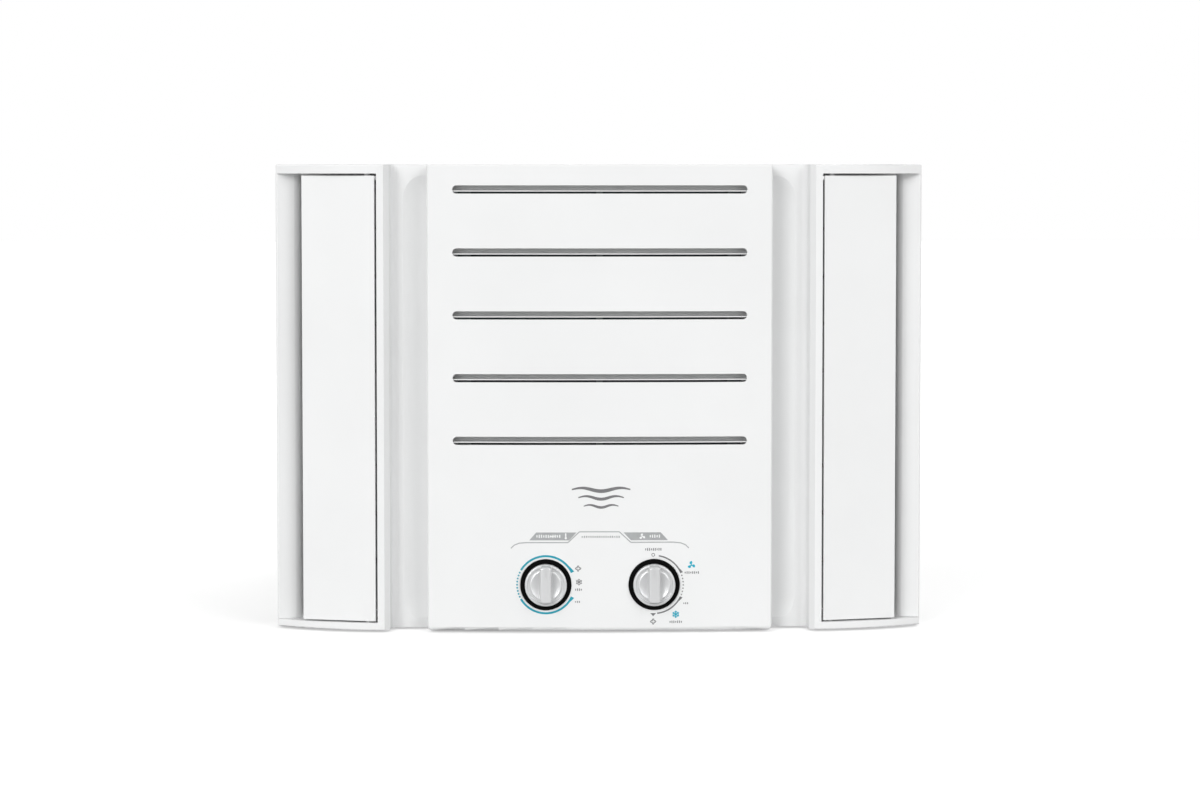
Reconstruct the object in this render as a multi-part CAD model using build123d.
from build123d import *
from math import asin, atan2, cos, degrees, hypot, radians, sin
import os

# A window air conditioner that draws room air through slots in the middle of its front and
# blows it out behind a door at each side. It stands on two rails that bolt to the window sill.
#
# Frame: X to the right seen from the room, Y into the wall, Z up. The origin is in the middle of
# the underside, halfway from front to back. Lengths are in millimetres, angles in degrees.

# ---------------------------------------------------------------- driving dimensions

# Front frame
HALF_WIDTH = 300.0          # half the width of the whole front
TOP = 432.5                 # top of the front above the sill
FOOT = 2.0                  # underside of the front, held clear of the sill by the rails
OPENING_Z = (9.0, 424.1)    # height of the side outlets, between the two borders
RIDGE_X = (199.0, 205.4)    # flat front band of the ridge beside each outlet
RIDGE_Y = -276.0
WING_Y = -244.0             # front corner of each outer side
WING_BULGE = (254.8, -266.0)   # point that the curved wing edge passes through
FRAME_BACK_Y = -205.0
DECK_Y = (-261.6, -258.6)   # flat wall that the centre panel clips onto
DUCT_WALL_X = (200.5, 203.5)
POCKET_RADIUS = 62.0        # shallow hollow that dips behind the edge of the centre panel
POCKET_WALL = 2.5
POCKET_AXIS = (157.0, -310.1)
POCKET_Z = (31.0, 399.0)    # between the centres of its rounded ends
POCKET_END_X = 190.0        # beyond its shore, before the ridge

# Centre panel, a shallow bowed tray
PANEL_HALF = 159.0
PANEL_APEX_Y = -284.0
PANEL_BOW = 5.0
PANEL_BACK_Y = -262.0
PANEL_SKIN = 2.5
SLOT_LENGTH = 271.0
SLOT_HEIGHT = 7.6
SLOT_PITCH = 57.8
TOP_SLOT_DROP = 23.0        # from the top down to the middle of the first slot
SLOT_COUNT = 5

# Controls
KNOB_X = 50.0
KNOB_Z = 45.3
KNOB_RADIUS = 19.3
KNOB_TIP_Y = -300.0
BEZEL_RADIUS = 23.6
SHAFT_RADIUS = 3.0
RUNNING_GAP = 0.05          # radial clearance of every pin that turns in a hole

# Side outlets
DOOR_INNER = (207.5, -274.8)   # front corner of a door beside the ridge
DOOR_OUTER = (275.3, -257.0)   # front corner of a door at its free edge
DOOR_Z = (10.5, 422.1)
DOOR_THICKNESS = 3.0
DOOR_PIVOT_ALONG = 8.5      # from the inner edge to the pivot, along the door
DOOR_PIVOT_DEPTH = 6.0      # from the door's front to the pivot
DOOR_BARREL_RADIUS = 3.7
DOOR_PIN_RADIUS = 2.5
VANE_COUNT = 8
VANE_PITCH = 44.5
VANE_X = (208.3, 275.5)
VANE_PIVOT_Y = -222.0
VANE_CHORD = 28.0
VANE_PIN_RADIUS = 1.5
CRANK_Y = -210.0            # crank pin, behind the vane's pivot
CRANK_PIN_RADIUS = 1.2
LINK_X = (221.0, 224.0)
COLUMN_X = 276.0            # inner face of the outer column
COLUMN_LIP = ((COLUMN_X, -234.0), (279.0, -237.8, 283.2, -240.2))   # rounded, by the door's edge
VALLEY_Y = -252.0           # floor of the valley between the ridge and the centre panel
VALLEY_WALL_X = 157.0       # step down to it, behind the panel's edge

# Filter, drawn up through the top border
FILTER_HALF = 131.0
FILTER_Y = (-255.5, -250.5)
FILTER_Z = (140.3, 431.5)

# Cabinet, pan and rails
CABINET_HALF = 280.0
CABINET_Y = (-204.0, 292.0)
CABINET_Z = (14.0, 418.0)
SHEET = 1.2
PAN_HALF = 278.4
PAN_Y = (-203.0, 284.0)
PAN_Z = (12.0, 52.0)
PAN_SHEET = 1.5
RAIL_Y = (-190.0, 285.0)
SILL_BOLT_X = 288.0
SILL_BOLT_Y = (-150.0, 250.0)
SILL_BOLT_RADIUS = 4.5
REAR_Y = 300.0              # end of the drain spout, the rearmost point

# Air moving parts, all on one motor shaft
SHAFT_Z = 240.0
MOTOR_Y = (10.0, 100.0)
MOTOR_RADIUS = 62.0
ROTOR_SHAFT_RADIUS = 6.0
BLOWER_RADIUS = 110.0
BLOWER_Y = (-138.0, -72.0)
BLOWER_BLADES = 32
FAN_RADIUS = 162.0
FAN_Y = (190.0, 228.0)
FAN_BLADES = 5
BULKHEAD_Y = (-55.0, -53.8)

# Refrigerant circuit
EVAPORATOR = ((-188.0, 188.0), (-202.0, -152.0), (96.0, 404.0))
CONDENSER = ((-230.0, 230.0), (238.0, 283.0), (58.0, 402.0))
EVAPORATOR_PASSES = 9
CONDENSER_PASSES = 8
COMPRESSOR_AT = (190.0, 30.0)
COMPRESSOR_RADIUS = 60.0
COMPRESSOR_Z = (38.0, 290.0)
ACCUMULATOR_AT = (190.0, 114.0)
SUCTION_RADIUS = 5.0
DISCHARGE_RADIUS = 4.0
CAPILLARY_RADIUS = 1.6

# ---------------------------------------------------------------- values worked out from those

BOW_RADIUS = (PANEL_HALF ** 2 + PANEL_BOW ** 2) / (2 * PANEL_BOW)
SLOT_HEIGHTS = [TOP - TOP_SLOT_DROP - SLOT_PITCH * i for i in range(SLOT_COUNT)]
DOOR_ANGLE = degrees(atan2(DOOR_OUTER[1] - DOOR_INNER[1], DOOR_OUTER[0] - DOOR_INNER[0]))
DOOR_LENGTH = hypot(DOOR_OUTER[0] - DOOR_INNER[0], DOOR_OUTER[1] - DOOR_INNER[1])
DOOR_PIVOT = (
    DOOR_INNER[0] + DOOR_PIVOT_ALONG * cos(radians(DOOR_ANGLE))
    - DOOR_PIVOT_DEPTH * sin(radians(DOOR_ANGLE)),
    DOOR_INNER[1] + DOOR_PIVOT_ALONG * sin(radians(DOOR_ANGLE))
    + DOOR_PIVOT_DEPTH * cos(radians(DOOR_ANGLE)),
)
OUTLET_MIDDLE = (OPENING_Z[0] + OPENING_Z[1]) / 2
VANE_HEIGHTS = [OUTLET_MIDDLE + VANE_PITCH * (i - (VANE_COUNT - 1) / 2) for i in range(VANE_COUNT)]
BEZEL_SEAT_Y = PANEL_APEX_Y + 1.2
VALLEY_FRONT = (
    (VALLEY_WALL_X, DECK_Y[0]),
    (VALLEY_WALL_X, VALLEY_Y),
    (173.0, VALLEY_Y - 1.6, 187.0, VALLEY_Y - 1.0),
    (191.4, VALLEY_Y - 3.0, 193.0, VALLEY_Y - 7.0),
    (194.2, -270.8),
    (RIDGE_X[0], RIDGE_Y),
    (RIDGE_X[1], RIDGE_Y),
)
SCREW_HEIGHT = 24.0
SIDE_SCREW_Y = (-180.0, 30.0, 240.0)
REAR_SCREW_Z = (80.0, 235.0, 390.0)
REAR_SCREW_X = 270.0
CONDENSER_STEP = (CONDENSER[2][1] - CONDENSER[2][0]) / CONDENSER_PASSES
HOT_END_Z = CONDENSER[2][1] - CONDENSER_STEP / 2
COOL_END_Z = CONDENSER[2][0] + CONDENSER_STEP / 2
CONDENSER_MIDDLE_Y = (CONDENSER[1][0] + CONDENSER[1][1]) / 2
CONDENSER_END_X = CONDENSER[0][1] + 1.1
LINE_X = 258.0              # upright plane of the outdoor lines, beside the coils
SUCTION_DROP = (197.0, -166.0)
CAPILLARY_DROP = (-197.0, -170.0)

# ---------------------------------------------------------------- helpers


def block(x, y, z):
    """A box between the low and high value given for each axis."""
    size = [high - low for low, high in (x, y, z)]
    middle = [(high + low) / 2 for low, high in (x, y, z)]
    return Pos(*middle) * Box(*size)


def rod(axis, across, radius, ends):
    """A cylinder along X, Y or Z. across holds its other two coordinates, in X, Y, Z order."""
    turn = {"X": Rot(0, 90, 0), "Y": Rot(90, 0, 0), "Z": Rot(0, 0, 0)}[axis]
    middle = list(across)
    middle.insert("XYZ".index(axis), (ends[0] + ends[1]) / 2)
    return Pos(*middle) * turn * Cylinder(radius, ends[1] - ends[0])


def face(*steps):
    """A closed face. Two numbers are a straight run to a point, four are an arc via a point."""
    edges = []
    here = steps[0]
    for step in steps[1:]:
        end = step[-2:]
        edges.append(ThreePointArc(here, step[:2], end) if len(step) == 4 else Line(here, end))
        here = end
    if here != steps[0]:
        edges.append(Line(here, steps[0]))
    return make_face(Wire(edges).edges())


def along_x(shape, x):
    """A face drawn in (Y, Z), run along X."""
    return extrude(Plane.YZ.offset(x[0]) * shape, x[1] - x[0])


def along_y(shape, y):
    """A face drawn in (X, Z), run along Y."""
    return extrude(Plane.XZ.offset(-y[1]) * shape, y[1] - y[0])


def along_z(shape, z):
    """A face drawn in (X, Y), run along Z."""
    return extrude(Pos(0, 0, z[0]) * shape, z[1] - z[0])


def turned_y(shape, x, z):
    """A face drawn in (radius, Y), turned about the line along Y through (x, z)."""
    return Pos(x, 0, z) * revolve(shape, axis=Axis.Y)


def turned_z(shape, x, y):
    """A face drawn in (radius, Z), turned about the line along Z through (x, y)."""
    return Pos(x, y, 0) * revolve(Plane.XZ * shape, axis=Axis.Z)


def bent_tube(points, radius, bend):
    """A round tube or rod along straight runs with tangent bends."""
    path = FilletPolyline(*points, radius=bend)
    return sweep(Plane(origin=path @ 0, z_dir=path % 0) * Circle(radius), path=path)


def both_sides(shape):
    """A shape joined to its mirror image across the middle."""
    return shape + mirror(shape, about=Plane.YZ)


def near(shape, axis, value, reach=0.01):
    """The edges whose middle lies at the given X, Y or Z."""
    return shape.edges().filter_by(lambda edge: abs(getattr(edge.center(), axis) - value) < reach)


# ---------------------------------------------------------------- front


def border(z, rounded_z):
    """Half of the top or bottom border: lip, ridge and curved wing, softened at its outer rim."""
    outline = face(
        (0, FRAME_BACK_Y),
        (0, DECK_Y[0]),
        *VALLEY_FRONT,
        (*WING_BULGE, HALF_WIDTH, WING_Y),
        (HALF_WIDTH, FRAME_BACK_Y),
    )
    half = along_z(outline, z)
    rim = near(half, "Z", rounded_z).filter_by(lambda edge: edge.center().Y < DECK_Y[0] - 2)
    side = near(half, "Z", rounded_z).filter_by(lambda edge: edge.center().X > HALF_WIDTH - 1)
    return fillet(rim.filter_by(lambda edge: edge.center().X > RIDGE_X[1]) + side, 1.5)


def valley():
    """Half of the upright skin: clip deck, valley beside the panel, ridge and duct wall."""
    skin = face(
        (140.0, DECK_Y[0]),
        *VALLEY_FRONT,
        (RIDGE_X[1], -273.3),
        (DUCT_WALL_X[1], -273.3),
        (DUCT_WALL_X[1], FRAME_BACK_Y),
        (DUCT_WALL_X[0], FRAME_BACK_Y),
        (DUCT_WALL_X[0], -273.8),
        (196.6, -269.6),
        (195.6, VALLEY_Y - 6.6),
        (193.4, VALLEY_Y - 0.8, 187.4, VALLEY_Y + 1.6),
        (173.0, VALLEY_Y + 1.0, VALLEY_WALL_X - 2.6, VALLEY_Y + 2.6),
        (VALLEY_WALL_X - 2.6, DECK_Y[1]),
        (140.0, DECK_Y[1]),
    )
    return along_z(skin, (OPENING_Z[0] - 1, OPENING_Z[1] + 1))


def pocket(radius):
    """The hollow beside the panel: a wide upright cylinder with rounded ends, mostly in the air."""
    low, high = POCKET_Z
    slant = radius * cos(radians(45))
    outline = face(
        (0, low - radius),
        (slant, low - slant, radius, low),
        (radius, high),
        (slant, high + slant, 0, high + radius),
    )
    return turned_z(outline, *POCKET_AXIS)


def filter_guides():
    """Half of the channel that the filter slides in, and the ledge that it stands on."""
    side = block((FILTER_HALF + 1.0, FILTER_HALF + 4.0), (DECK_Y[1] - 1, -247.5), (136.0, OPENING_Z[1] + 1))
    lip = block((FILTER_HALF - 7.0, FILTER_HALF + 4.0), (-249.7, -247.5), (136.0, OPENING_Z[1] + 1))
    ledge = block((0, FILTER_HALF + 4.0), (DECK_Y[1] - 1, -247.5), (136.0, 140.0))
    return side + lip + ledge


def front_frame():
    """The moulded front: borders, ridges, valleys, deck and filter guides in one piece."""
    deck = block((0, 141.0), DECK_Y, (OPENING_Z[0] - 1, OPENING_Z[1] + 1))
    deck -= block((-1, 138.0), (-270, -250), (150.0, 408.0))
    deck -= block((-1, 112.0), (-270, -250), (11.0, 82.0))
    half = border((OPENING_Z[1], TOP), TOP) + border((FOOT, OPENING_Z[0]), FOOT)
    half = half + valley() + deck + filter_guides()
    reach = (OPENING_Z[0] + 2, OPENING_Z[1])
    backing = block((VALLEY_WALL_X - 2.6, POCKET_END_X), (VALLEY_Y + 1, VALLEY_Y + 12), reach)
    half += pocket(POCKET_RADIUS + POCKET_WALL) & backing
    half -= pocket(POCKET_RADIUS) & block((VALLEY_WALL_X, POCKET_END_X), (DECK_Y[0], VALLEY_Y + 12), reach)
    half -= block((-1, FILTER_HALF + 1.0), (FILTER_Y[0] - 0.5, FILTER_Y[1] + 0.5), (150.0, TOP + 1))
    for ends in ((OPENING_Z[1] - 1, OPENING_Z[1] + 5.0), (OPENING_Z[0] - 4.5, OPENING_Z[0] + 1)):
        half -= rod("Z", DOOR_PIVOT, DOOR_PIN_RADIUS + RUNNING_GAP, ends)
    return both_sides(half)


def panel_outline(inset):
    """The centre panel's outline seen from above, drawn in by inset at the front and sides."""
    edge = PANEL_HALF - inset
    edge_y = PANEL_APEX_Y + PANEL_BOW + inset
    return face((-edge, PANEL_BACK_Y), (-edge, edge_y), (0, PANEL_APEX_Y + inset, edge, edge_y),
                (edge, PANEL_BACK_Y))


def center_panel():
    """The bowed panel with its five intake slots and the two seats for the knob bezels."""
    body = along_z(panel_outline(0), (FOOT, TOP))
    front_z = body.edges().filter_by(Axis.Z).filter_by(lambda edge: edge.center().Y < PANEL_BACK_Y - 1)
    body = fillet(front_z, 2.0)
    rim = near(body, "Z", FOOT).filter_by(lambda edge: edge.center().Y < PANEL_BACK_Y - 1)
    body = fillet(rim, 4.0)
    rim = near(body, "Z", TOP).filter_by(lambda edge: edge.center().Y < PANEL_BACK_Y - 1)
    body = fillet(rim, 1.2)
    hollow = along_z(panel_outline(PANEL_SKIN), (FOOT + PANEL_SKIN + 1.5, TOP - PANEL_SKIN))
    body -= hollow
    slot = along_y(SlotOverall(SLOT_LENGTH, SLOT_HEIGHT), (PANEL_APEX_Y - 2, -270.0))
    for height in SLOT_HEIGHTS:
        body -= Pos(0, 0, height) * slot
    for x in (-KNOB_X, KNOB_X):
        body -= rod("Y", (x, KNOB_Z), BEZEL_RADIUS + 0.2, (PANEL_APEX_Y - 2, BEZEL_SEAT_Y))
        body -= rod("Y", (x, KNOB_Z), BEZEL_RADIUS - 1.1, (PANEL_APEX_Y - 2, -270.0))
    return body


def intake_louvres():
    """Five hooked blades behind the slots, held at their ends in a surrounding rim."""
    rear = BOW_RADIUS + PANEL_APEX_Y
    half_turn = degrees(asin((SLOT_LENGTH / 2 + 1.5) / BOW_RADIUS))
    blades = []
    for height in SLOT_HEIGHTS:
        profile = face(
            (-281.3, height - 2.0),
            (-281.7, height - 1.5, -281.3, height - 1.0),
            (-273.6, height - 0.7),
            (-272.9, height - 0.4, -272.6, height + 0.3),
            (-272.4, height + 5.4),
            (-268.4, height + 5.4),
            (-268.4, height + 4.2),
            (-271.2, height + 4.2),
            (-271.4, height - 1.4),
            (-271.9, height - 1.9, -272.6, height - 2.0),
        )
        blade = revolve(Plane.YZ * profile, axis=Axis((0, rear, 0), (0, 0, 1)),
                        revolution_arc=2 * half_turn)
        blades.append(Pos(0, rear, 0) * Rot(0, 0, -half_turn) * Pos(0, -rear, 0) * blade)
    low = SLOT_HEIGHTS[-1] - 12.0
    high = SLOT_HEIGHTS[0] + 12.0
    rim = block((-142.0, 142.0), (-269.6, -263.0), (low, high))
    rim -= block((-138.6, 138.6), (-271.0, -262.0), (low + 3.4, high - 3.4))
    ends = [block((x - 1.5, x + 1.5), (-271.0, -263.0), (low + 1, high - 1)) for x in (-137.5, 137.5)]
    return rim + ends + blades


def filter_frame():
    """The air filter's frame with its cross bars and a pull lip at the top."""
    frame = block((-FILTER_HALF, FILTER_HALF), FILTER_Y, FILTER_Z)
    pane_x = 58.0
    pane_z = (FILTER_Z[1] - FILTER_Z[0] - 26.0) / 3
    for column in (-1, 1):
        for row in range(3):
            low = FILTER_Z[0] + 8.0 + row * (pane_z + 3.0)
            centre = column * (pane_x + 3.0)
            frame -= block((centre - pane_x, centre + pane_x), (-260, -245), (low, low + pane_z))
    groove = block((-FILTER_HALF + 5, FILTER_HALF - 5), (-253.4, -252.6),
                   (FILTER_Z[0] + 5, FILTER_Z[0] + 11 + 3 * (pane_z + 3.0)))
    grip = block((-30, 30), (-256.0, -254.5), (FILTER_Z[1] - 9, FILTER_Z[1] - 3))
    return frame - groove - grip


def filter_mesh():
    """The fine net held in the filter frame's groove."""
    top = FILTER_Z[0] + 10.5 + (FILTER_Z[1] - FILTER_Z[0] - 26.0) + 9.0
    return block((-FILTER_HALF + 5.5, FILTER_HALF - 5.5), (-253.3, -252.7), (FILTER_Z[0] + 5.5, top))


# ---------------------------------------------------------------- side outlets, right-hand set


def outlet_frame():
    """The insert that carries the vanes: duct wall, top and bottom plates, lipped outer column."""
    z = (OPENING_Z[0] + 0.2, OPENING_Z[1] - 0.2)
    outer = face(
        (COLUMN_X, FRAME_BACK_Y),
        *COLUMN_LIP,
        (HALF_WIDTH - 2.5, WING_Y + 0.3),
        (HALF_WIDTH - 0.5, WING_Y + 0.4, HALF_WIDTH, WING_Y + 2.2),
        (HALF_WIDTH, FRAME_BACK_Y),
    )
    column = along_z(outer, z)
    column -= along_z(
        face(
            (COLUMN_X + 2.5, FRAME_BACK_Y + 1),
            (COLUMN_X + 2.5, COLUMN_LIP[0][1] + 0.8),
            (284.6, -237.9),
            (HALF_WIDTH - 2.5, WING_Y + 3.4),
            (HALF_WIDTH - 2.5, FRAME_BACK_Y + 1),
        ),
        (z[0] + 2.5, z[1] - 2.5),
    )
    wall = block((DUCT_WALL_X[1] + 0.3, VANE_X[0] - 0.5), (-238.0, FRAME_BACK_Y), z)
    plates = [block((DUCT_WALL_X[1] + 0.3, COLUMN_X + 1), (-238.0, FRAME_BACK_Y), (low, low + 2.5))
              for low in (z[0], z[1] - 2.5)]
    frame = column + wall + plates
    for height in VANE_HEIGHTS:
        frame -= rod("X", (VANE_PIVOT_Y, height), VANE_PIN_RADIUS + RUNNING_GAP, (203.0, 279.0))
    return frame


def door():
    """The flat outlet door with its pivot barrel, end pins and stiffened free edge."""
    place = Pos(*DOOR_INNER) * Rot(0, 0, DOOR_ANGLE)
    sheet = RectangleRounded(DOOR_LENGTH, DOOR_THICKNESS, 0.5)
    plate = place * Pos(DOOR_LENGTH / 2, DOOR_THICKNESS / 2) * sheet
    edge = place * Pos(DOOR_LENGTH - 1.25, 3.4) * RectangleRounded(2.4, 6.6, 1.0)
    rib = place * Pos(38.0, 3.6) * Rectangle(2.0, 3.0)
    body = along_z(plate, DOOR_Z)
    body += along_z(edge, DOOR_Z)
    body += along_z(rib, (DOOR_Z[0] + 8, DOOR_Z[1] - 8))
    body += rod("Z", DOOR_PIVOT, DOOR_BARREL_RADIUS, DOOR_Z)
    body += rod("Z", DOOR_PIVOT, DOOR_PIN_RADIUS, (DOOR_Z[0] - 5.0, DOOR_Z[1] + 6.0))
    return body


def vane(height):
    """One louvre vane: lens section, end pins, and a crank pin across a notch for the link."""
    half = VANE_CHORD / 2
    section = face(
        (-half, -0.5),
        (-half, 0.5),
        (0, 1.9, half, 0.5),
        (half, -0.5),
        (0, -1.9, -half, -0.5),
    )
    body = along_x(Pos(VANE_PIVOT_Y, height) * section, VANE_X)
    body -= block((LINK_X[0] - 2, LINK_X[1] + 2), (-215.5, -200.0), (height - 4, height + 4))
    body += rod("X", (CRANK_Y, height), CRANK_PIN_RADIUS, (LINK_X[0] - 3, LINK_X[1] + 3))
    body += rod("X", (VANE_PIVOT_Y, height), VANE_PIN_RADIUS, (VANE_X[0] - 2.5, VANE_X[1] + 2.3))
    return body


def vane_link():
    """The tie bar that turns the vanes together. It fits the lowest crank pin, others are loose."""
    body = block(LINK_X, (CRANK_Y - 2, CRANK_Y + 2), (VANE_HEIGHTS[0] - 3, VANE_HEIGHTS[-1] + 3))
    for index, height in enumerate(VANE_HEIGHTS):
        body += rod("X", (CRANK_Y, height), 3.0, LINK_X)
        gap = RUNNING_GAP if index == 0 else 0.4
        body -= rod("X", (CRANK_Y, height), CRANK_PIN_RADIUS + gap, (LINK_X[0] - 1, LINK_X[1] + 1))
    return body


# ---------------------------------------------------------------- controls


def knob_bezel(x):
    """The black cup and flange around one knob."""
    ring = face(
        (20.0, BEZEL_SEAT_Y - 1.6),
        (20.5, BEZEL_SEAT_Y - 2.4),
        (BEZEL_RADIUS - 0.8, BEZEL_SEAT_Y - 2.4),
        (BEZEL_RADIUS, BEZEL_SEAT_Y - 1.6),
        (BEZEL_RADIUS, BEZEL_SEAT_Y),
        (22.3, BEZEL_SEAT_Y),
        (22.3, -278.6),
        (7.0, -278.6),
        (7.0, -280.0),
        (20.0, -280.0),
    )
    return turned_y(ring, x, KNOB_Z)


def knob(x):
    """A round knob: rim, groove, dished face, and a tapered grip bar with a pointer notch."""
    back = BEZEL_SEAT_Y - 0.8
    disc = face(
        (0, -279.2),
        (6.0, -279.2),
        (6.0, back),
        (KNOB_RADIUS, back),
        (KNOB_RADIUS, -289.6),
        (KNOB_RADIUS - 0.3, -290.4, KNOB_RADIUS - 1.1, -290.7),
        (17.2, -290.7),
        (16.7, -289.2),
        (14.9, -289.2),
        (14.4, -290.5),
        (13.7, -290.7),
        (7.0, -288.9, 0, -288.2),
    )
    body = turned_y(disc, x, KNOB_Z)
    plane = Plane(origin=(x, -287.8, KNOB_Z), x_dir=(1, 0, 0), z_dir=(0, -1, 0))
    bar = Pos(0, 1.0) * RectangleRounded(12.6, 35.8, 3.6)
    grip = extrude(plane * bar, -KNOB_TIP_Y - 287.8, taper=7)
    grip = fillet(near(grip, "Y", KNOB_TIP_Y), 1.6)
    body += grip
    body -= block((x - 0.6, x + 0.6), (KNOB_TIP_Y - 1, KNOB_TIP_Y + 0.7), (KNOB_Z + 8, KNOB_Z + 20))
    body -= rod("Y", (x, KNOB_Z), SHAFT_RADIUS + 0.02, (-290.0, -278.0))
    return body


def control_shaft(x):
    """The turning spindle between a knob and its control."""
    return rod("Y", (x, KNOB_Z), SHAFT_RADIUS, (-289.8, -250.0))


def control_body(x, depth, width, height):
    """A thermostat or rotary switch: case, threaded neck and spade terminals."""
    front = -255.4
    case = block((x - width / 2, x + width / 2), (front, front + depth),
                 (KNOB_Z - height / 2, KNOB_Z + height / 2))
    case = fillet(case.edges().filter_by(Axis.Y), 3.0)
    case += rod("Y", (x, KNOB_Z), 5.0, (-266.0, front))
    case -= rod("Y", (x, KNOB_Z), SHAFT_RADIUS + RUNNING_GAP, (-267.0, -249.5))
    for side in (-9.0, 0.0, 9.0):
        blade = block((x + side - 3, x + side + 3), (front + depth - 1, front + depth + 8),
                      (KNOB_Z - 0.4, KNOB_Z + 0.4))
        case += blade
    return case


def control_box():
    """The sheet box behind the lower panel, open at the back, with holes for both necks."""
    box = block((-108.0, 108.0), (-257.6, -208.0), (13.0, 80.0))
    box -= block((-106.8, 106.8), (-256.4, -207.0), (14.2, 78.8))
    for x in (-KNOB_X, KNOB_X):
        box -= rod("Y", (x, KNOB_Z), 5.3, (-258.0, -256.0))
    return box


def run_capacitor():
    """The motor run capacitor, a can lying front to back, with its two terminals."""
    can = rod("Y", (0, 46.0), 17.5, (-254.0, -216.0))
    can = fillet(can.edges(), 1.2)
    for x in (-6.0, 6.0):
        can += block((x - 2.5, x + 2.5), (-217.0, -209.5), (45.6, 46.4))
    return can


# ---------------------------------------------------------------- cabinet, pan and rails


def louvre_hood(length, rise, reach):
    """A pressed louvre lying along Y on a wall in the YZ plane, open downwards, and its slot."""
    outer = along_y(face((-0.4, 0), (reach, -rise + 1.2), (reach, -rise), (-0.4, -rise)),
                    (-length / 2, length / 2))
    inner = along_y(face((-1.4, -1.0), (reach - 1.0, -rise + 1.1), (reach - 1.0, -rise - 1),
                         (-1.4, -rise - 1)), (-length / 2 + 1, length / 2 - 1))
    slot = block((-3.0, 0.2), (-length / 2 + 1, length / 2 - 1), (-rise, -1.6))
    return outer - inner, slot


def cabinet():
    """The folded sheet cover: top and two sides, with pressed louvres around the outdoor end."""
    outer = block((-CABINET_HALF, CABINET_HALF), CABINET_Y, CABINET_Z)
    long_edges = outer.edges().filter_by(Axis.Y).filter_by(lambda edge: edge.center().Z > 200)
    outer = fillet(long_edges, 6.0)
    inner = block((-CABINET_HALF + SHEET, CABINET_HALF - SHEET), (CABINET_Y[0] - 1, CABINET_Y[1] + 1),
                  (CABINET_Z[0] - 1, CABINET_Z[1] - SHEET))
    upper = inner.edges().filter_by(Axis.Y).filter_by(lambda edge: edge.center().Z > 200)
    shell = outer - fillet(upper, 6.0 - SHEET)
    flange = block((262.0, CABINET_HALF - 0.6), (CABINET_Y[1] - SHEET, CABINET_Y[1]), (56.0, 412.0))
    shell += both_sides(flange)
    hood, slot = louvre_hood(84.0, 9.0, 4.0)
    hoods = []
    slots = []
    for y in (88.0, 186.0):
        for row in range(13):
            at = Pos(CABINET_HALF, y, 372.0 - 18.0 * row)
            hoods += [at * hood, mirror(at * hood, about=Plane.YZ)]
            slots += [at * slot, mirror(at * slot, about=Plane.YZ)]
    for x in (-150.0, 0.0, 150.0):
        for row in range(8):
            at = Pos(x, 250.0 - 20.0 * row, CABINET_Z[1]) * Rot(0, 0, 90) * Rot(0, -90, 0)
            hoods.append(at * hood)
            slots.append(at * slot)
    shell = shell - slots + hoods
    for y in SIDE_SCREW_Y:
        shell -= rod("X", (y, SCREW_HEIGHT), 2.0, (-CABINET_HALF - 1, CABINET_HALF + 1))
    for z in REAR_SCREW_Z:
        for x in (-REAR_SCREW_X, REAR_SCREW_X):
            shell -= rod("Y", (x, z), 2.0, (CABINET_Y[1] - 3, CABINET_Y[1] + 1))
    return shell - rod("X", (-180.0, 90.0), 8.2, (270.0, CABINET_HALF + 1))


def rear_grille():
    """The slotted sheet over the condenser, with a raised field and a folded rim."""
    y = (CABINET_Y[1] + 0.3, CABINET_Y[1] + 1.5)
    sheet = Pos(0, 236.0) * RectangleRounded(2 * CABINET_HALF - 1, 362.0, 6.0)
    slots = GridLocations(12.0, 66.0, 37, 5) * SlotOverall(58.0, 6.0, 90)
    plate = along_y(sheet - [Pos(0, 236.0) * slot for slot in slots], y)
    rim = Pos(0, 236.0) * (RectangleRounded(480, 344.0, 8.0) - RectangleRounded(472, 336.0, 5.0))
    plate += along_y(rim, (y[0], y[1] + 3.0))
    for z in REAR_SCREW_Z:
        for x in (-REAR_SCREW_X, REAR_SCREW_X):
            plate -= rod("Y", (x, z), 2.0, (y[0] - 1, y[1] + 1))
    return plate


def base_pan():
    """The pressed tray under everything, with compressor bosses and stiffening ribs."""
    pan = block((-PAN_HALF, PAN_HALF), PAN_Y, PAN_Z)
    pan -= block((-PAN_HALF + PAN_SHEET, PAN_HALF - PAN_SHEET), (PAN_Y[0] + PAN_SHEET, PAN_Y[1] - PAN_SHEET),
                 (PAN_Z[0] + PAN_SHEET, PAN_Z[1] + 1))
    floor = PAN_Z[0] + PAN_SHEET
    for x in (-150.0, -100.0):
        pan += block((x - 5, x + 5), (60.0, 220.0), (floor - 0.5, floor + 3))
    for y in SIDE_SCREW_Y:
        pan -= rod("X", (y, SCREW_HEIGHT), 2.0, (-PAN_HALF - 1, PAN_HALF + 1))
    pan -= rod("Y", (-200.0, 32.0), 6.0, (PAN_Y[1] - 3, PAN_Y[1] + 1))
    for x, y in compressor_feet():
        pan -= rod("Z", (x, y), 3.1, (PAN_Z[0] - 1, floor + 1))
    return pan


def mounting_rail():
    """One Z-section rail: top flange under the pan, web, and a foot with two sill holes."""
    section = face((240.0, PAN_Z[0]), (240.0, 9.5), (262.0, 9.5), (262.0, 0), (298.0, 0), (298.0, 2.5),
                   (264.5, 2.5), (264.5, PAN_Z[0]))
    rail = along_y(section, RAIL_Y)
    for y in SILL_BOLT_Y:
        rail -= rod("Z", (SILL_BOLT_X, y), SILL_BOLT_RADIUS, (-1, 4))
    return rail


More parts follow.
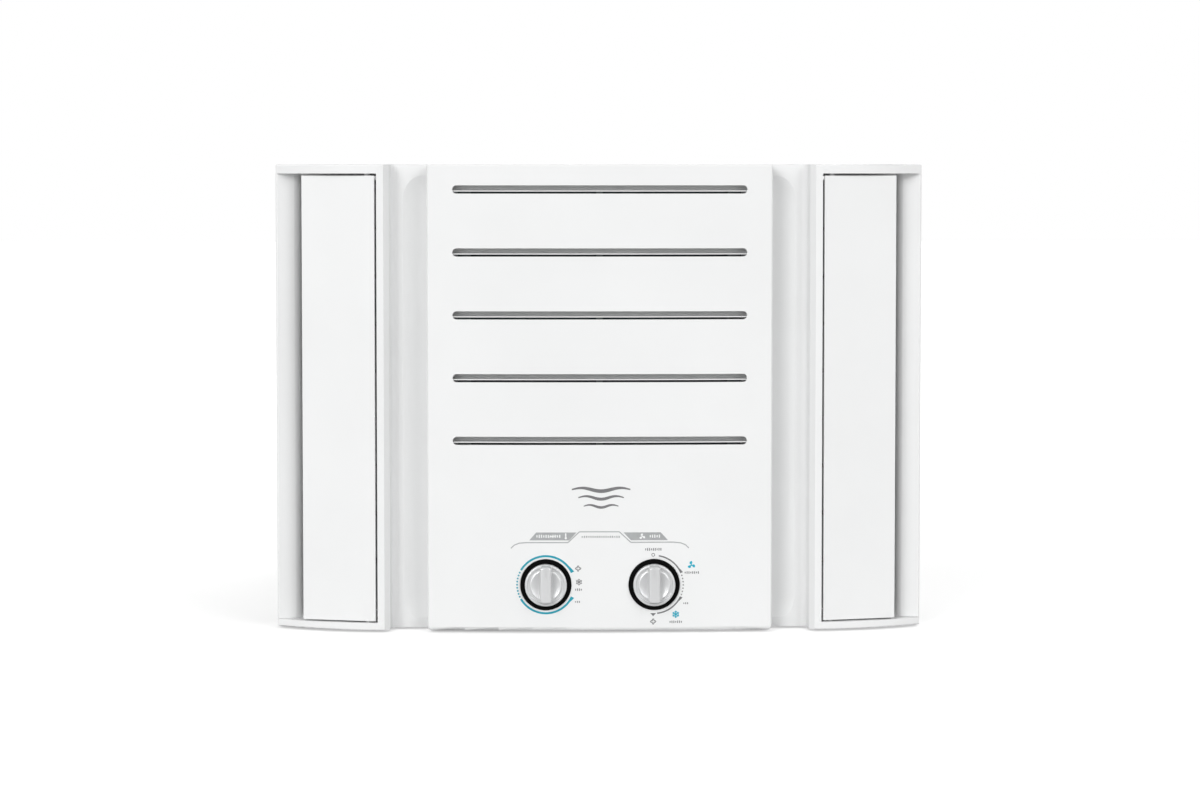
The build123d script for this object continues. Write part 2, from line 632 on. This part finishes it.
def drain_spout():
    """The hose spout on the rear wall of the pan."""
    spout = rod("Y", (-200.0, 32.0), 8.0, (PAN_Y[1] + 0.1, REAR_Y))
    spout += rod("Y", (-200.0, 32.0), 12.0, (PAN_Y[1] + 0.1, PAN_Y[1] + 2.0))
    return spout - rod("Y", (-200.0, 32.0), 5.9, (PAN_Y[1] - 1, REAR_Y + 1))


def cord_gland():
    """The rubber grommet in the cabinet's side where the supply lead leaves."""
    profile = face((4.0, 276.9), (10.5, 276.9), (10.5, 278.6), (8.0, 278.6), (8.0, 280.2), (11.0, 280.2),
                   (11.0, 282.0), (8.0, 284.0), (6.6, 292.0), (4.0, 292.0))
    gland = revolve(Plane.XZ * profile, axis=Axis.Z)
    return Pos(0, -180.0, 90.0) * Rot(0, 90, 0) * gland


def screw():
    """A pan-head screw standing on the origin, its shank down, with a cross recess."""
    profile = face((0, -5.0), (1.9, -5.0), (1.9, 0), (4.2, 0), (4.2, 0.8), (2.6, 2.3, 0, 2.6))
    body = revolve(Plane.XZ * profile, axis=Axis.Z)
    body -= Pos(0, 0, 2.6) * Box(4.0, 0.9, 2.4)
    return body - Pos(0, 0, 2.6) * Box(0.9, 4.0, 2.4)


def screws():
    """The cabinet's side screws and the rear grille's screws."""
    group = []
    for y in SIDE_SCREW_Y:
        group.append(Pos(CABINET_HALF, y, SCREW_HEIGHT) * Rot(0, 90, 0) * screw())
        group.append(Pos(-CABINET_HALF, y, SCREW_HEIGHT) * Rot(0, -90, 0) * screw())
    for z in REAR_SCREW_Z:
        for x in (-REAR_SCREW_X, REAR_SCREW_X):
            group.append(Pos(x, CABINET_Y[1] + 1.5, z) * Rot(-90, 0, 0) * screw())
    return Compound(group)


# ---------------------------------------------------------------- air path


def bulkhead():
    """The sheet wall between the room side and the outdoor side."""
    wall = block((-276.4, 276.4), BULKHEAD_Y, (14.0, 415.6))
    wall -= rod("Y", (0, SHAFT_Z), 12.0, (-60, -50))
    wall -= rod("Y", (SUCTION_DROP[0], 34.0), SUCTION_RADIUS + 2, (-60, -50))
    return wall - rod("Y", (CAPILLARY_DROP[0], 22.0), CAPILLARY_RADIUS + 2, (-60, -50))


def blower_scroll():
    """The moulded air housing: blower chamber, inlet ring, side ducts and drain tray."""
    body = block((-276.0, 276.0), (-145.0, -56.0), (50.0, 414.0))
    chamber = block((-273.0, 273.0), (-142.0, -59.0), (112.0, 368.0))
    body -= fillet(chamber.edges().filter_by(Axis.Y), 60.0)
    body -= block((-262.0, 262.0), (-142.0, -55.0), (53.0, 100.0))
    body -= block((-262.0, 262.0), (-142.0, -55.0), (380.0, 411.0))
    for side in (-1, 1):
        near_x, far_x = sorted((side * 204.0, side * 276.0))
        body += block((near_x, far_x), (-203.6, -144.0), (53.0, 414.0))
    for side in (-1, 1):
        near_x, far_x = sorted((side * 207.0, side * 273.0))
        body -= block((near_x, far_x), (-205.0, -147.0), (56.0, 411.0))
        body -= block((near_x, far_x), (-148.0, -100.0), (175.0, 305.0))
    body -= rod("Y", (0, SHAFT_Z), 88.0, (-146.0, -141.0))
    body -= rod("Y", (0, SHAFT_Z), 12.0, (-60.0, -55.0))
    tray = block((-204.0, 204.0), (-203.6, -144.0), (60.0, 94.0))
    tray -= block((-202.5, 202.5), (-201.0, -147.6), (63.0, 95.0))
    tray -= rod("Z", SUCTION_DROP, SUCTION_RADIUS + 0.4, (59.0, 95.0))
    return body + (tray - rod("Z", CAPILLARY_DROP, CAPILLARY_RADIUS + 0.4, (59.0, 95.0)))


def blower_wheel():
    """The centrifugal wheel: back plate with hub, blades, and a front ring."""
    wheel = rod("Y", (0, 0), BLOWER_RADIUS, (BLOWER_Y[1] - 2.0, BLOWER_Y[1]))
    wheel += rod("Y", (0, 0), 14.0, (BLOWER_Y[1] - 26.0, BLOWER_Y[1]))
    ring = rod("Y", (0, 0), BLOWER_RADIUS, (BLOWER_Y[0], BLOWER_Y[0] + 3.0))
    ring -= rod("Y", (0, 0), BLOWER_RADIUS - 14.0, (BLOWER_Y[0] - 1, BLOWER_Y[0] + 4.0))
    blade = Pos(BLOWER_RADIUS - 9.0, 0, 0) * Rot(0, 35, 0) * block(
        (-9.0, 9.0), (BLOWER_Y[0] + 1.0, BLOWER_Y[1] - 1.0), (-0.7, 0.7))
    blades = [Rot(0, 360 / BLOWER_BLADES * i, 0) * blade for i in range(BLOWER_BLADES)]
    wheel = wheel + ring + blades
    wheel -= rod("Y", (0, 0), ROTOR_SHAFT_RADIUS + 0.02, (BLOWER_Y[0], BLOWER_Y[1] + 1))
    return Pos(0, 0, SHAFT_Z) * wheel


def propeller_fan():
    """The outdoor fan: hub, pitched blades and the slinger ring that throws condensate."""
    middle = (FAN_Y[0] + FAN_Y[1]) / 2
    hub = rod("Y", (0, 0), 30.0, (FAN_Y[0], FAN_Y[1] - 4))
    hub -= rod("Y", (0, 0), 26.0, (FAN_Y[0] - 1, FAN_Y[0] + 12))
    blade = Pos(94.0, middle, 0) * Rot(26, 0, 0) * Box(134.0, 2.4, 78.0)
    blades = [Rot(0, 360 / FAN_BLADES * i, 0) * blade for i in range(FAN_BLADES)]
    blades = [item & rod("Y", (0, 0), FAN_RADIUS - 2, (FAN_Y[0] - 20, FAN_Y[1] + 20)) for item in blades]
    ring = rod("Y", (0, 0), FAN_RADIUS, (middle - 7, middle + 7))
    ring -= rod("Y", (0, 0), FAN_RADIUS - 3, (middle - 8, middle + 8))
    fan = hub + blades + ring
    fan -= rod("Y", (0, 0), ROTOR_SHAFT_RADIUS + 0.02, (FAN_Y[0] - 1, FAN_Y[1] + 1))
    return Pos(0, 0, SHAFT_Z) * fan


def motor_shaft():
    """The steel shaft that carries the blower wheel and the fan."""
    return rod("Y", (0, SHAFT_Z), ROTOR_SHAFT_RADIUS, (BLOWER_Y[0] + 30, FAN_Y[1] + 4))


def fan_motor():
    """The double-shaft motor: hollow case, end bosses and side lugs."""
    case = rod("Y", (0, SHAFT_Z), MOTOR_RADIUS, MOTOR_Y)
    case = fillet(case.edges(), 6.0)
    case += rod("Y", (0, SHAFT_Z), 16.0, (MOTOR_Y[0] - 8, MOTOR_Y[1] + 8))
    case -= rod("Y", (0, SHAFT_Z), 54.0, (MOTOR_Y[0] + 6, MOTOR_Y[1] - 6))
    for side in (-1, 1):
        lug_x = sorted((side * 58.0, side * 71.8))
        case += block(lug_x, (45.0, 65.0), (SHAFT_Z - 6, SHAFT_Z + 6)) - rod(
            "Y", (0, SHAFT_Z), 55.0, (0, 110))
    return case - rod("Y", (0, SHAFT_Z), ROTOR_SHAFT_RADIUS + RUNNING_GAP, (MOTOR_Y[0] - 9, MOTOR_Y[1] + 9))


def motor_bracket():
    """The folded stand under the motor: foot plate and two uprights at the lugs."""
    floor = PAN_Z[0] + PAN_SHEET
    stand = block((-75.0, 75.0), (35.0, 75.0), (floor, floor + 2.5))
    for side in (-1, 1):
        upright_x = sorted((side * 72.0, side * 75.0))
        stand += block(upright_x, (35.0, 75.0), (floor, SHAFT_Z + 14))
    return stand


def fan_shroud():
    """The plate and bell ring around the propeller fan, in front of the condenser."""
    plate = block((-276.0, 276.0), (234.0, 236.0), (16.0, 414.0))
    plate += rod("Y", (0, SHAFT_Z), 171.0, (178.0, 235.0))
    plate -= rod("Y", (0, SHAFT_Z), 168.0, (170.0, 240.0))
    for z in (HOT_END_Z, COOL_END_Z):
        plate -= rod("Y", (LINE_X, z), DISCHARGE_RADIUS + 2, (230.0, 240.0))
    return plate


# ---------------------------------------------------------------- refrigerant circuit


def coil(size, passes, fin_pitch, tube_radius, first_bend):
    """A fin-and-tube coil: upright fins, level tube passes through them, and end bends.

    first_bend is the side of the lowest bend, 1 for the right and -1 for the left.
    """
    x, y, z = size
    count = int((x[1] - x[0]) / fin_pitch)
    fins = [block((x[0] + fin_pitch * i, x[0] + fin_pitch * i + 1.0), y, z) for i in range(count + 1)]
    plates = [block((end - 1, end + 1), y, z) for end in x]
    middle_y = (y[0] + y[1]) / 2
    step = (z[1] - z[0]) / passes
    levels = [z[0] + step * (i + 0.5) for i in range(passes)]
    tubes = [rod("X", (middle_y, level), tube_radius, (x[0] - 1, x[1] + 1)) for level in levels]
    bends = []
    for i in range(passes - 1):
        side = first_bend * (-1) ** i
        end = x[1] + 0.9 if side > 0 else x[0] - 0.9
        path = ThreePointArc((end, middle_y, levels[i]),
                             (end + side * 7.5, middle_y, (levels[i] + levels[i + 1]) / 2),
                             (end, middle_y, levels[i + 1]))
        bends.append(sweep(Plane(origin=path @ 0, z_dir=path % 0) * Circle(tube_radius), path=path))
    return plates[0].fuse(plates[1], *fins, *tubes, *bends)


def compressor_feet():
    """The places of the compressor's three mounting feet."""
    reach = 82.0
    x, y = COMPRESSOR_AT
    angles = (100.0, 220.0, 340.0)
    return [(x + reach * cos(radians(a)) * 0.9, y + reach * sin(radians(a))) for a in angles]


def compressor():
    """The welded rotary compressor with its accumulator, foot plate and terminal cover."""
    x, y = COMPRESSOR_AT
    low, high = COMPRESSOR_Z
    shell = rod("Z", (x, y), COMPRESSOR_RADIUS, (low + 2, high))
    shell = fillet(shell.edges().group_by(Axis.Z)[-1], 26.0)
    shell = fillet(shell.edges().group_by(Axis.Z)[0], 8.0)
    shell += rod("Z", (x, y), COMPRESSOR_RADIUS + 2, (high - 60, high - 48))
    feet = [block((-14, 14), (-1, 84), (low, low + 3)) for _ in range(3)]
    for foot, (foot_x, foot_y) in zip(feet, compressor_feet()):
        angle = degrees(atan2(foot_y - y, foot_x - x)) - 90
        arm = Pos(x, y, 0) * Rot(0, 0, angle) * foot
        shell += arm
        shell -= rod("Z", (foot_x, foot_y), 5.2, (low - 1, low + 4))
    tank_x, tank_y = ACCUMULATOR_AT
    tank = rod("Z", (tank_x, tank_y), 21.0, (130.0, 250.0))
    tank = fillet(tank.edges(), 9.0)
    neck = block((x - 8, x + 8), (y + COMPRESSOR_RADIUS - 6, tank_y - 15), (180.0, 196.0))
    pipe = bent_tube([(tank_x, tank_y, 132.0), (tank_x, tank_y, 90.0), (tank_x, y + 50, 90.0)], 5.0, 14.0)
    cover = Pos(x, y, 0) * rod("Z", (0, 0), 24.0, (high - 4, high + 16))
    shell += tank + neck + pipe + fillet(cover.edges().group_by(Axis.Z)[-1], 4.0)
    return shell - rod("Z", (x, y), 50.0, (low + 60, low + 190))


def grommet(x, y):
    """The rubber mount under one compressor foot."""
    floor = PAN_Z[0] + PAN_SHEET
    low = COMPRESSOR_Z[0]
    profile = face((3.3, floor), (11.0, floor), (12.0, floor + 10), (11.0, low), (5.0, low),
                   (5.0, low + 3.1), (9.0, low + 3.1), (8.0, low + 8), (3.3, low + 8))
    return turned_z(profile, x, y)


def stud_and_nut(x, y):
    """The stud through one grommet, with its hexagon nut and washer."""
    low = COMPRESSOR_Z[0]
    stud = rod("Z", (x, y), 3.0, (PAN_Z[0] + 0.2, low + 17))
    washer = rod("Z", (x, y), 8.0, (low + 8.0, low + 9.6))
    nut = extrude(Pos(x, y, low + 9.6) * RegularPolygon(5.0, 6, major_radius=False), 5.0)
    return stud + washer + nut


def suction_line():
    """The wide copper line from the evaporator to the accumulator."""
    tank_x, tank_y = ACCUMULATOR_AT
    drop_x, drop_y = SUCTION_DROP
    side = 264.0
    points = [(drop_x, drop_y, 370.0), (drop_x, drop_y, 34.0), (drop_x, -30.0, 34.0), (side, -30.0, 34.0),
              (side, -30.0, 305.0), (side, tank_y, 305.0), (tank_x, tank_y, 305.0), (tank_x, tank_y, 250.1)]
    return bent_tube(points, SUCTION_RADIUS, 18.0)


def discharge_line():
    """The hot gas line from the compressor's top to the condenser."""
    x, y = COMPRESSOR_AT
    start_x = x - 38.0
    points = [(start_x, y, 290.2), (start_x, y, HOT_END_Z), (LINE_X, y, HOT_END_Z),
              (LINE_X, CONDENSER_MIDDLE_Y, HOT_END_Z), (CONDENSER_END_X, CONDENSER_MIDDLE_Y, HOT_END_Z)]
    return bent_tube(points, DISCHARGE_RADIUS, 16.0)


def filter_drier():
    """The drier can on the condenser's outlet, with its bent stub."""
    can = rod("Y", (LINE_X, COOL_END_Z), 11.0, (140.0, 210.0))
    can = fillet(can.edges(), 5.0)
    stub = bent_tube([(LINE_X, 208.0, COOL_END_Z), (LINE_X, CONDENSER_MIDDLE_Y, COOL_END_Z),
                      (CONDENSER_END_X, CONDENSER_MIDDLE_Y, COOL_END_Z)], 4.0, 14.0)
    return can + stub


def capillary_tube():
    """The thin line from the drier down and across to the evaporator."""
    low = 22.0
    drop_x, drop_y = CAPILLARY_DROP
    points = [(LINE_X, 139.9, COOL_END_Z), (LINE_X, 128.0, COOL_END_Z), (LINE_X, 128.0, low),
              (95.0, 128.0, low), (95.0, -34.0, low), (drop_x, -34.0, low), (drop_x, drop_y, low),
              (drop_x, drop_y, 115.0)]
    return bent_tube(points, CAPILLARY_RADIUS, 5.5)


# ---------------------------------------------------------------- all pieces by name


def pieces():
    """Every piece by its node's name."""
    right = {"outlet_frame": outlet_frame(), "door": door(), "vane_link": vane_link()}
    for index, height in enumerate(VANE_HEIGHTS):
        right[f"vane_{index + 1}"] = vane(height)
    nodes = {}
    for name, shape in right.items():
        nodes[f"right_{name}"] = shape
        nodes[f"left_{name}"] = mirror(shape, about=Plane.YZ)
    rail = mounting_rail()
    feet = compressor_feet()
    nodes.update({
        "front_frame": front_frame(),
        "center_panel": center_panel(),
        "intake_louvres": intake_louvres(),
        "filter_frame": filter_frame(),
        "filter_mesh": filter_mesh(),
        "knob_bezels": Compound([knob_bezel(-KNOB_X), knob_bezel(KNOB_X)]),
        "temperature_knob": knob(-KNOB_X),
        "mode_knob": knob(KNOB_X),
        "thermostat_shaft": control_shaft(-KNOB_X),
        "mode_switch_shaft": control_shaft(KNOB_X),
        "thermostat": control_body(-KNOB_X, 28.0, 40.0, 34.0),
        "mode_switch": control_body(KNOB_X, 22.0, 36.0, 36.0),
        "control_box": control_box(),
        "run_capacitor": run_capacitor(),
        "cabinet": cabinet(),
        "rear_grille": rear_grille(),
        "base_pan": base_pan(),
        "mounting_rails": Compound([rail, mirror(rail, about=Plane.YZ)]),
        "drain_spout": drain_spout(),
        "cord_gland": cord_gland(),
        "screws": screws(),
        "bulkhead": bulkhead(),
        "blower_scroll": blower_scroll(),
        "blower_wheel": blower_wheel(),
        "propeller_fan": propeller_fan(),
        "motor_shaft": motor_shaft(),
        "fan_motor": fan_motor(),
        "motor_bracket": motor_bracket(),
        "fan_shroud": fan_shroud(),
        "evaporator": coil(EVAPORATOR, EVAPORATOR_PASSES, 9.4, 4.5, 1),
        "condenser": coil(CONDENSER, CONDENSER_PASSES, 11.5, 4.5, -1),
        "compressor": compressor(),
        "compressor_grommets": Compound([grommet(*foot) for foot in feet]),
        "compressor_nuts": Compound([stud_and_nut(*foot) for foot in feet]),
        "suction_line": suction_line(),
        "discharge_line": discharge_line(),
        "filter_drier": filter_drier(),
        "capillary_tube": capillary_tube(),
    })
    return nodes


os.makedirs("parts", exist_ok=True)
for node, shape in pieces().items():
    export_step(shape, f"parts/{node}.step")
